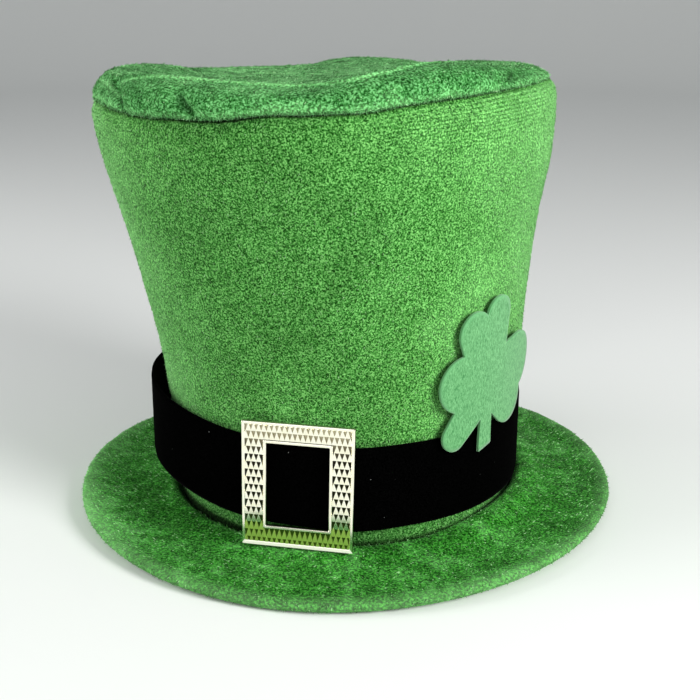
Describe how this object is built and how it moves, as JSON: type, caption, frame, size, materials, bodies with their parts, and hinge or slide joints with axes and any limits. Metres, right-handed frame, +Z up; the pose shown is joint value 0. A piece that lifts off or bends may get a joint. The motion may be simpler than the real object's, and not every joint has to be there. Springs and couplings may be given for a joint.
{
  "type": "leprechaun top hat",
  "caption": "Plush costume top hat with a padded round brim, flared crown with a slack top, loose black band, stamped gold buckle and felt shamrock",
  "frame": {"origin": "Centre of the brim's underside, where the hat stands on a surface", "axes": "+Z up through the crown, -Y the front with the buckle, +X the viewer's right, where the shamrock is"},
  "size_m": [0.3, 0.32, 0.245],
  "materials": {
    "green_plush": "short-pile velour plush, bright green, nap shading lighter at the turns",
    "black_velvet": "black velvet ribbon, almost without sheen",
    "gold_plate": "pale gold mirror plating on a stamped frame",
    "green_felt": "stiff light green felt with a fine fibre texture"
  },
  "bodies": {
    "root": {"brim": "green_plush", "crown_wall": "green_plush", "top_panel": "green_plush", "hat_band": "black_velvet", "buckle": "gold_plate", "shamrock": "green_felt"}
  },
  "joints": []
}
